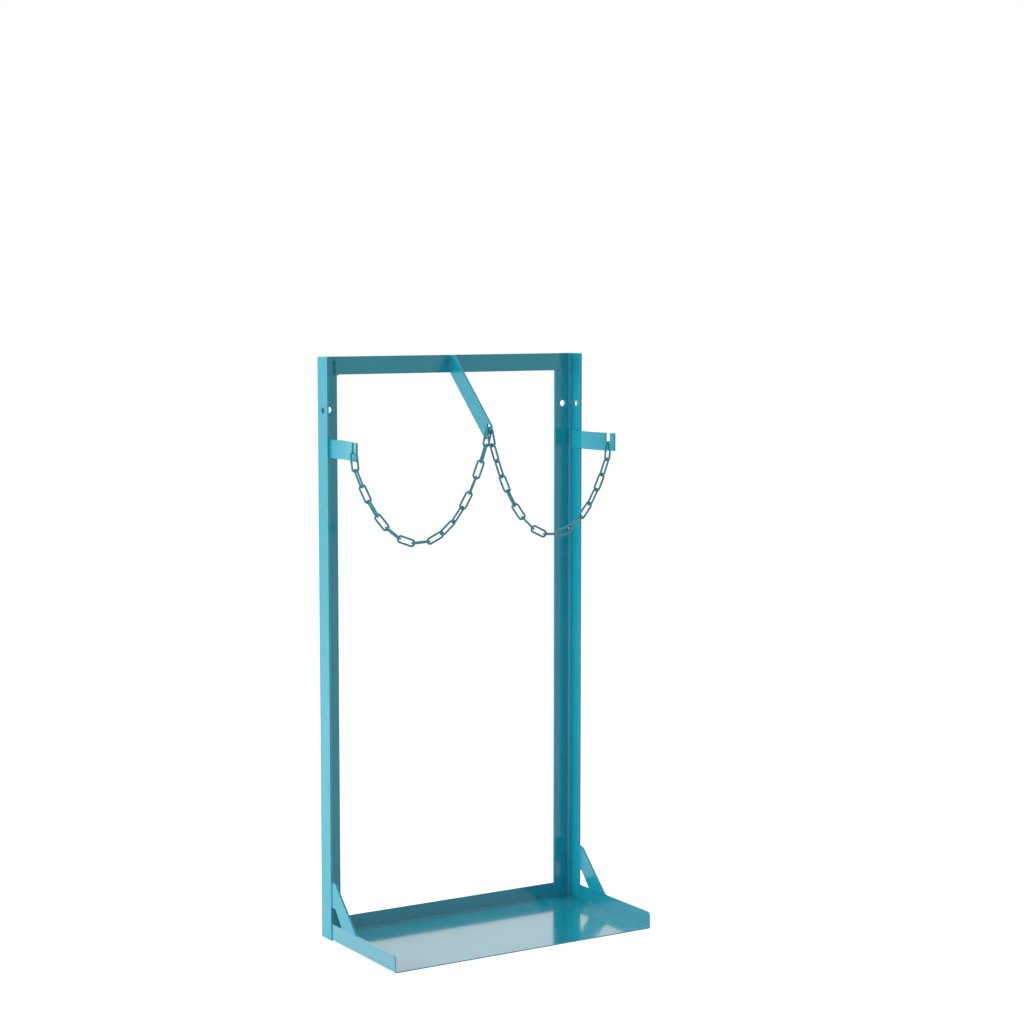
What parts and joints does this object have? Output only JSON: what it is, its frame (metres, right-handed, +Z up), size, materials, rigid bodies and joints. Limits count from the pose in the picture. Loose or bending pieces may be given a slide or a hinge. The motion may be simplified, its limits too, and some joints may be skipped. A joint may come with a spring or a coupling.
{
  "type": "gas cylinder stand",
  "caption": "Welded stand for tall gas cylinders: a folded tray, angle-iron uprights, a crossbar with a forward arm, and a chain across each bay.",
  "frame": {"origin": "on the floor, under the middle of the whole stand", "axes": "+Z up, +X to the right seen from the open front, -Y towards the open front of the tray"},
  "size_m": [0.5756, 0.288, 1.106],
  "materials": {
    "frame_paint": "gloss",
    "chain_paint": "gloss"
  },
  "bodies": {
    "frame": {"tray": "frame_paint", "left_upright": "frame_paint", "right_upright": "frame_paint", "crossbar": "frame_paint", "centre_arm": "frame_paint", "left_gusset": "frame_paint", "right_gusset": "frame_paint", "left_bracket": "frame_paint", "right_bracket": "frame_paint", "crossbar_welds": "frame_paint", "arm_welds": "frame_paint", "gusset_welds": "frame_paint", "bracket_welds": "frame_paint", "tray_welds": "frame_paint", "left_link_01": "chain_paint", "left_link_16": "chain_paint", "right_link_01": "chain_paint", "right_link_16": "chain_paint"},
    "left_chain": {"left_link_02": "chain_paint", "left_link_03": "chain_paint", "left_link_04": "chain_paint", "left_link_05": "chain_paint", "left_link_06": "chain_paint", "left_link_07": "chain_paint", "left_link_08": "chain_paint", "left_link_09": "chain_paint", "left_link_10": "chain_paint", "left_link_11": "chain_paint", "left_link_12": "chain_paint", "left_link_13": "chain_paint", "left_link_14": "chain_paint", "left_link_15": "chain_paint"},
    "right_chain": {"right_link_02": "chain_paint", "right_link_03": "chain_paint", "right_link_04": "chain_paint", "right_link_05": "chain_paint", "right_link_06": "chain_paint", "right_link_07": "chain_paint", "right_link_08": "chain_paint", "right_link_09": "chain_paint", "right_link_10": "chain_paint", "right_link_11": "chain_paint", "right_link_12": "chain_paint", "right_link_13": "chain_paint", "right_link_14": "chain_paint", "right_link_15": "chain_paint"}
  },
  "joints": [
    {"name": "left_chain_swing", "type": "hinge", "parent": "frame", "child": "left_chain", "pos_m": [-0.27724, 0.00464, 0.90328], "axis": [0.9916, -0.0399, 0.1227], "range_deg": [-8, 8]},
    {"name": "right_chain_swing", "type": "hinge", "parent": "frame", "child": "right_chain", "pos_m": [0.00649, -0.01075, 0.93678], "axis": [0.9909, 0.0563, -0.1226], "range_deg": [-8, 8]}
  ]
}
